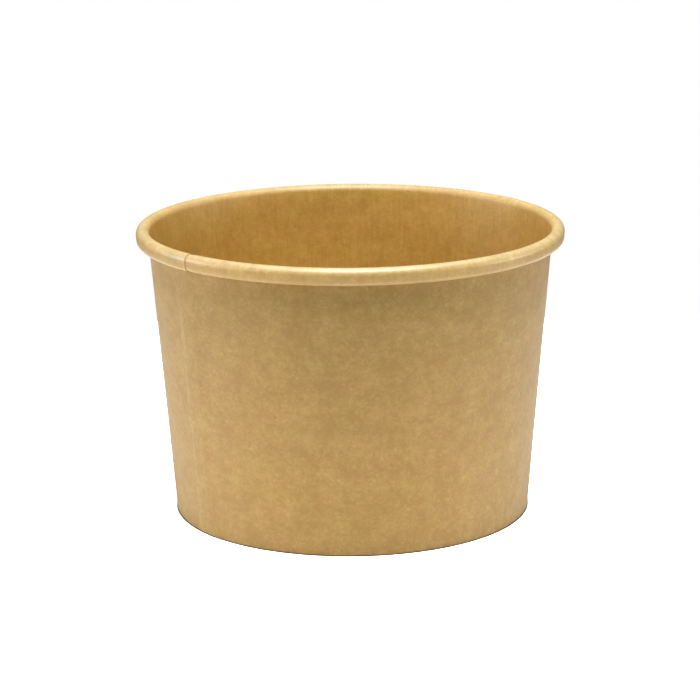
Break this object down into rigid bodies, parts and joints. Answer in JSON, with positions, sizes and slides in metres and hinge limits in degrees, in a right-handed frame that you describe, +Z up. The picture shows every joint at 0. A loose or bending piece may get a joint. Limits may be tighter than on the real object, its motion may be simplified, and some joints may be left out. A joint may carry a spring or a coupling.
{
  "type": "paper soup bowl",
  "caption": "Open round soup bowl of kraft board: tapered wall with a lap seam, a rim rolled outwards, and a stand ring folded round the skirt of a recessed bottom disc.",
  "frame": {"origin": "centre of the ring that the bowl stands on, at table height", "axes": "+Z up, out of the bowl's mouth; -Y towards the viewer of the picture, with the lap seam to the viewer's left"},
  "size_m": [0.115, 0.115, 0.078],
  "materials": {
    "kraft_board": "satin",
    "lined_disc_board": "satin"
  },
  "bodies": {
    "root": {"side_wall": "kraft_board", "bottom_disc": "lined_disc_board"}
  },
  "joints": []
}
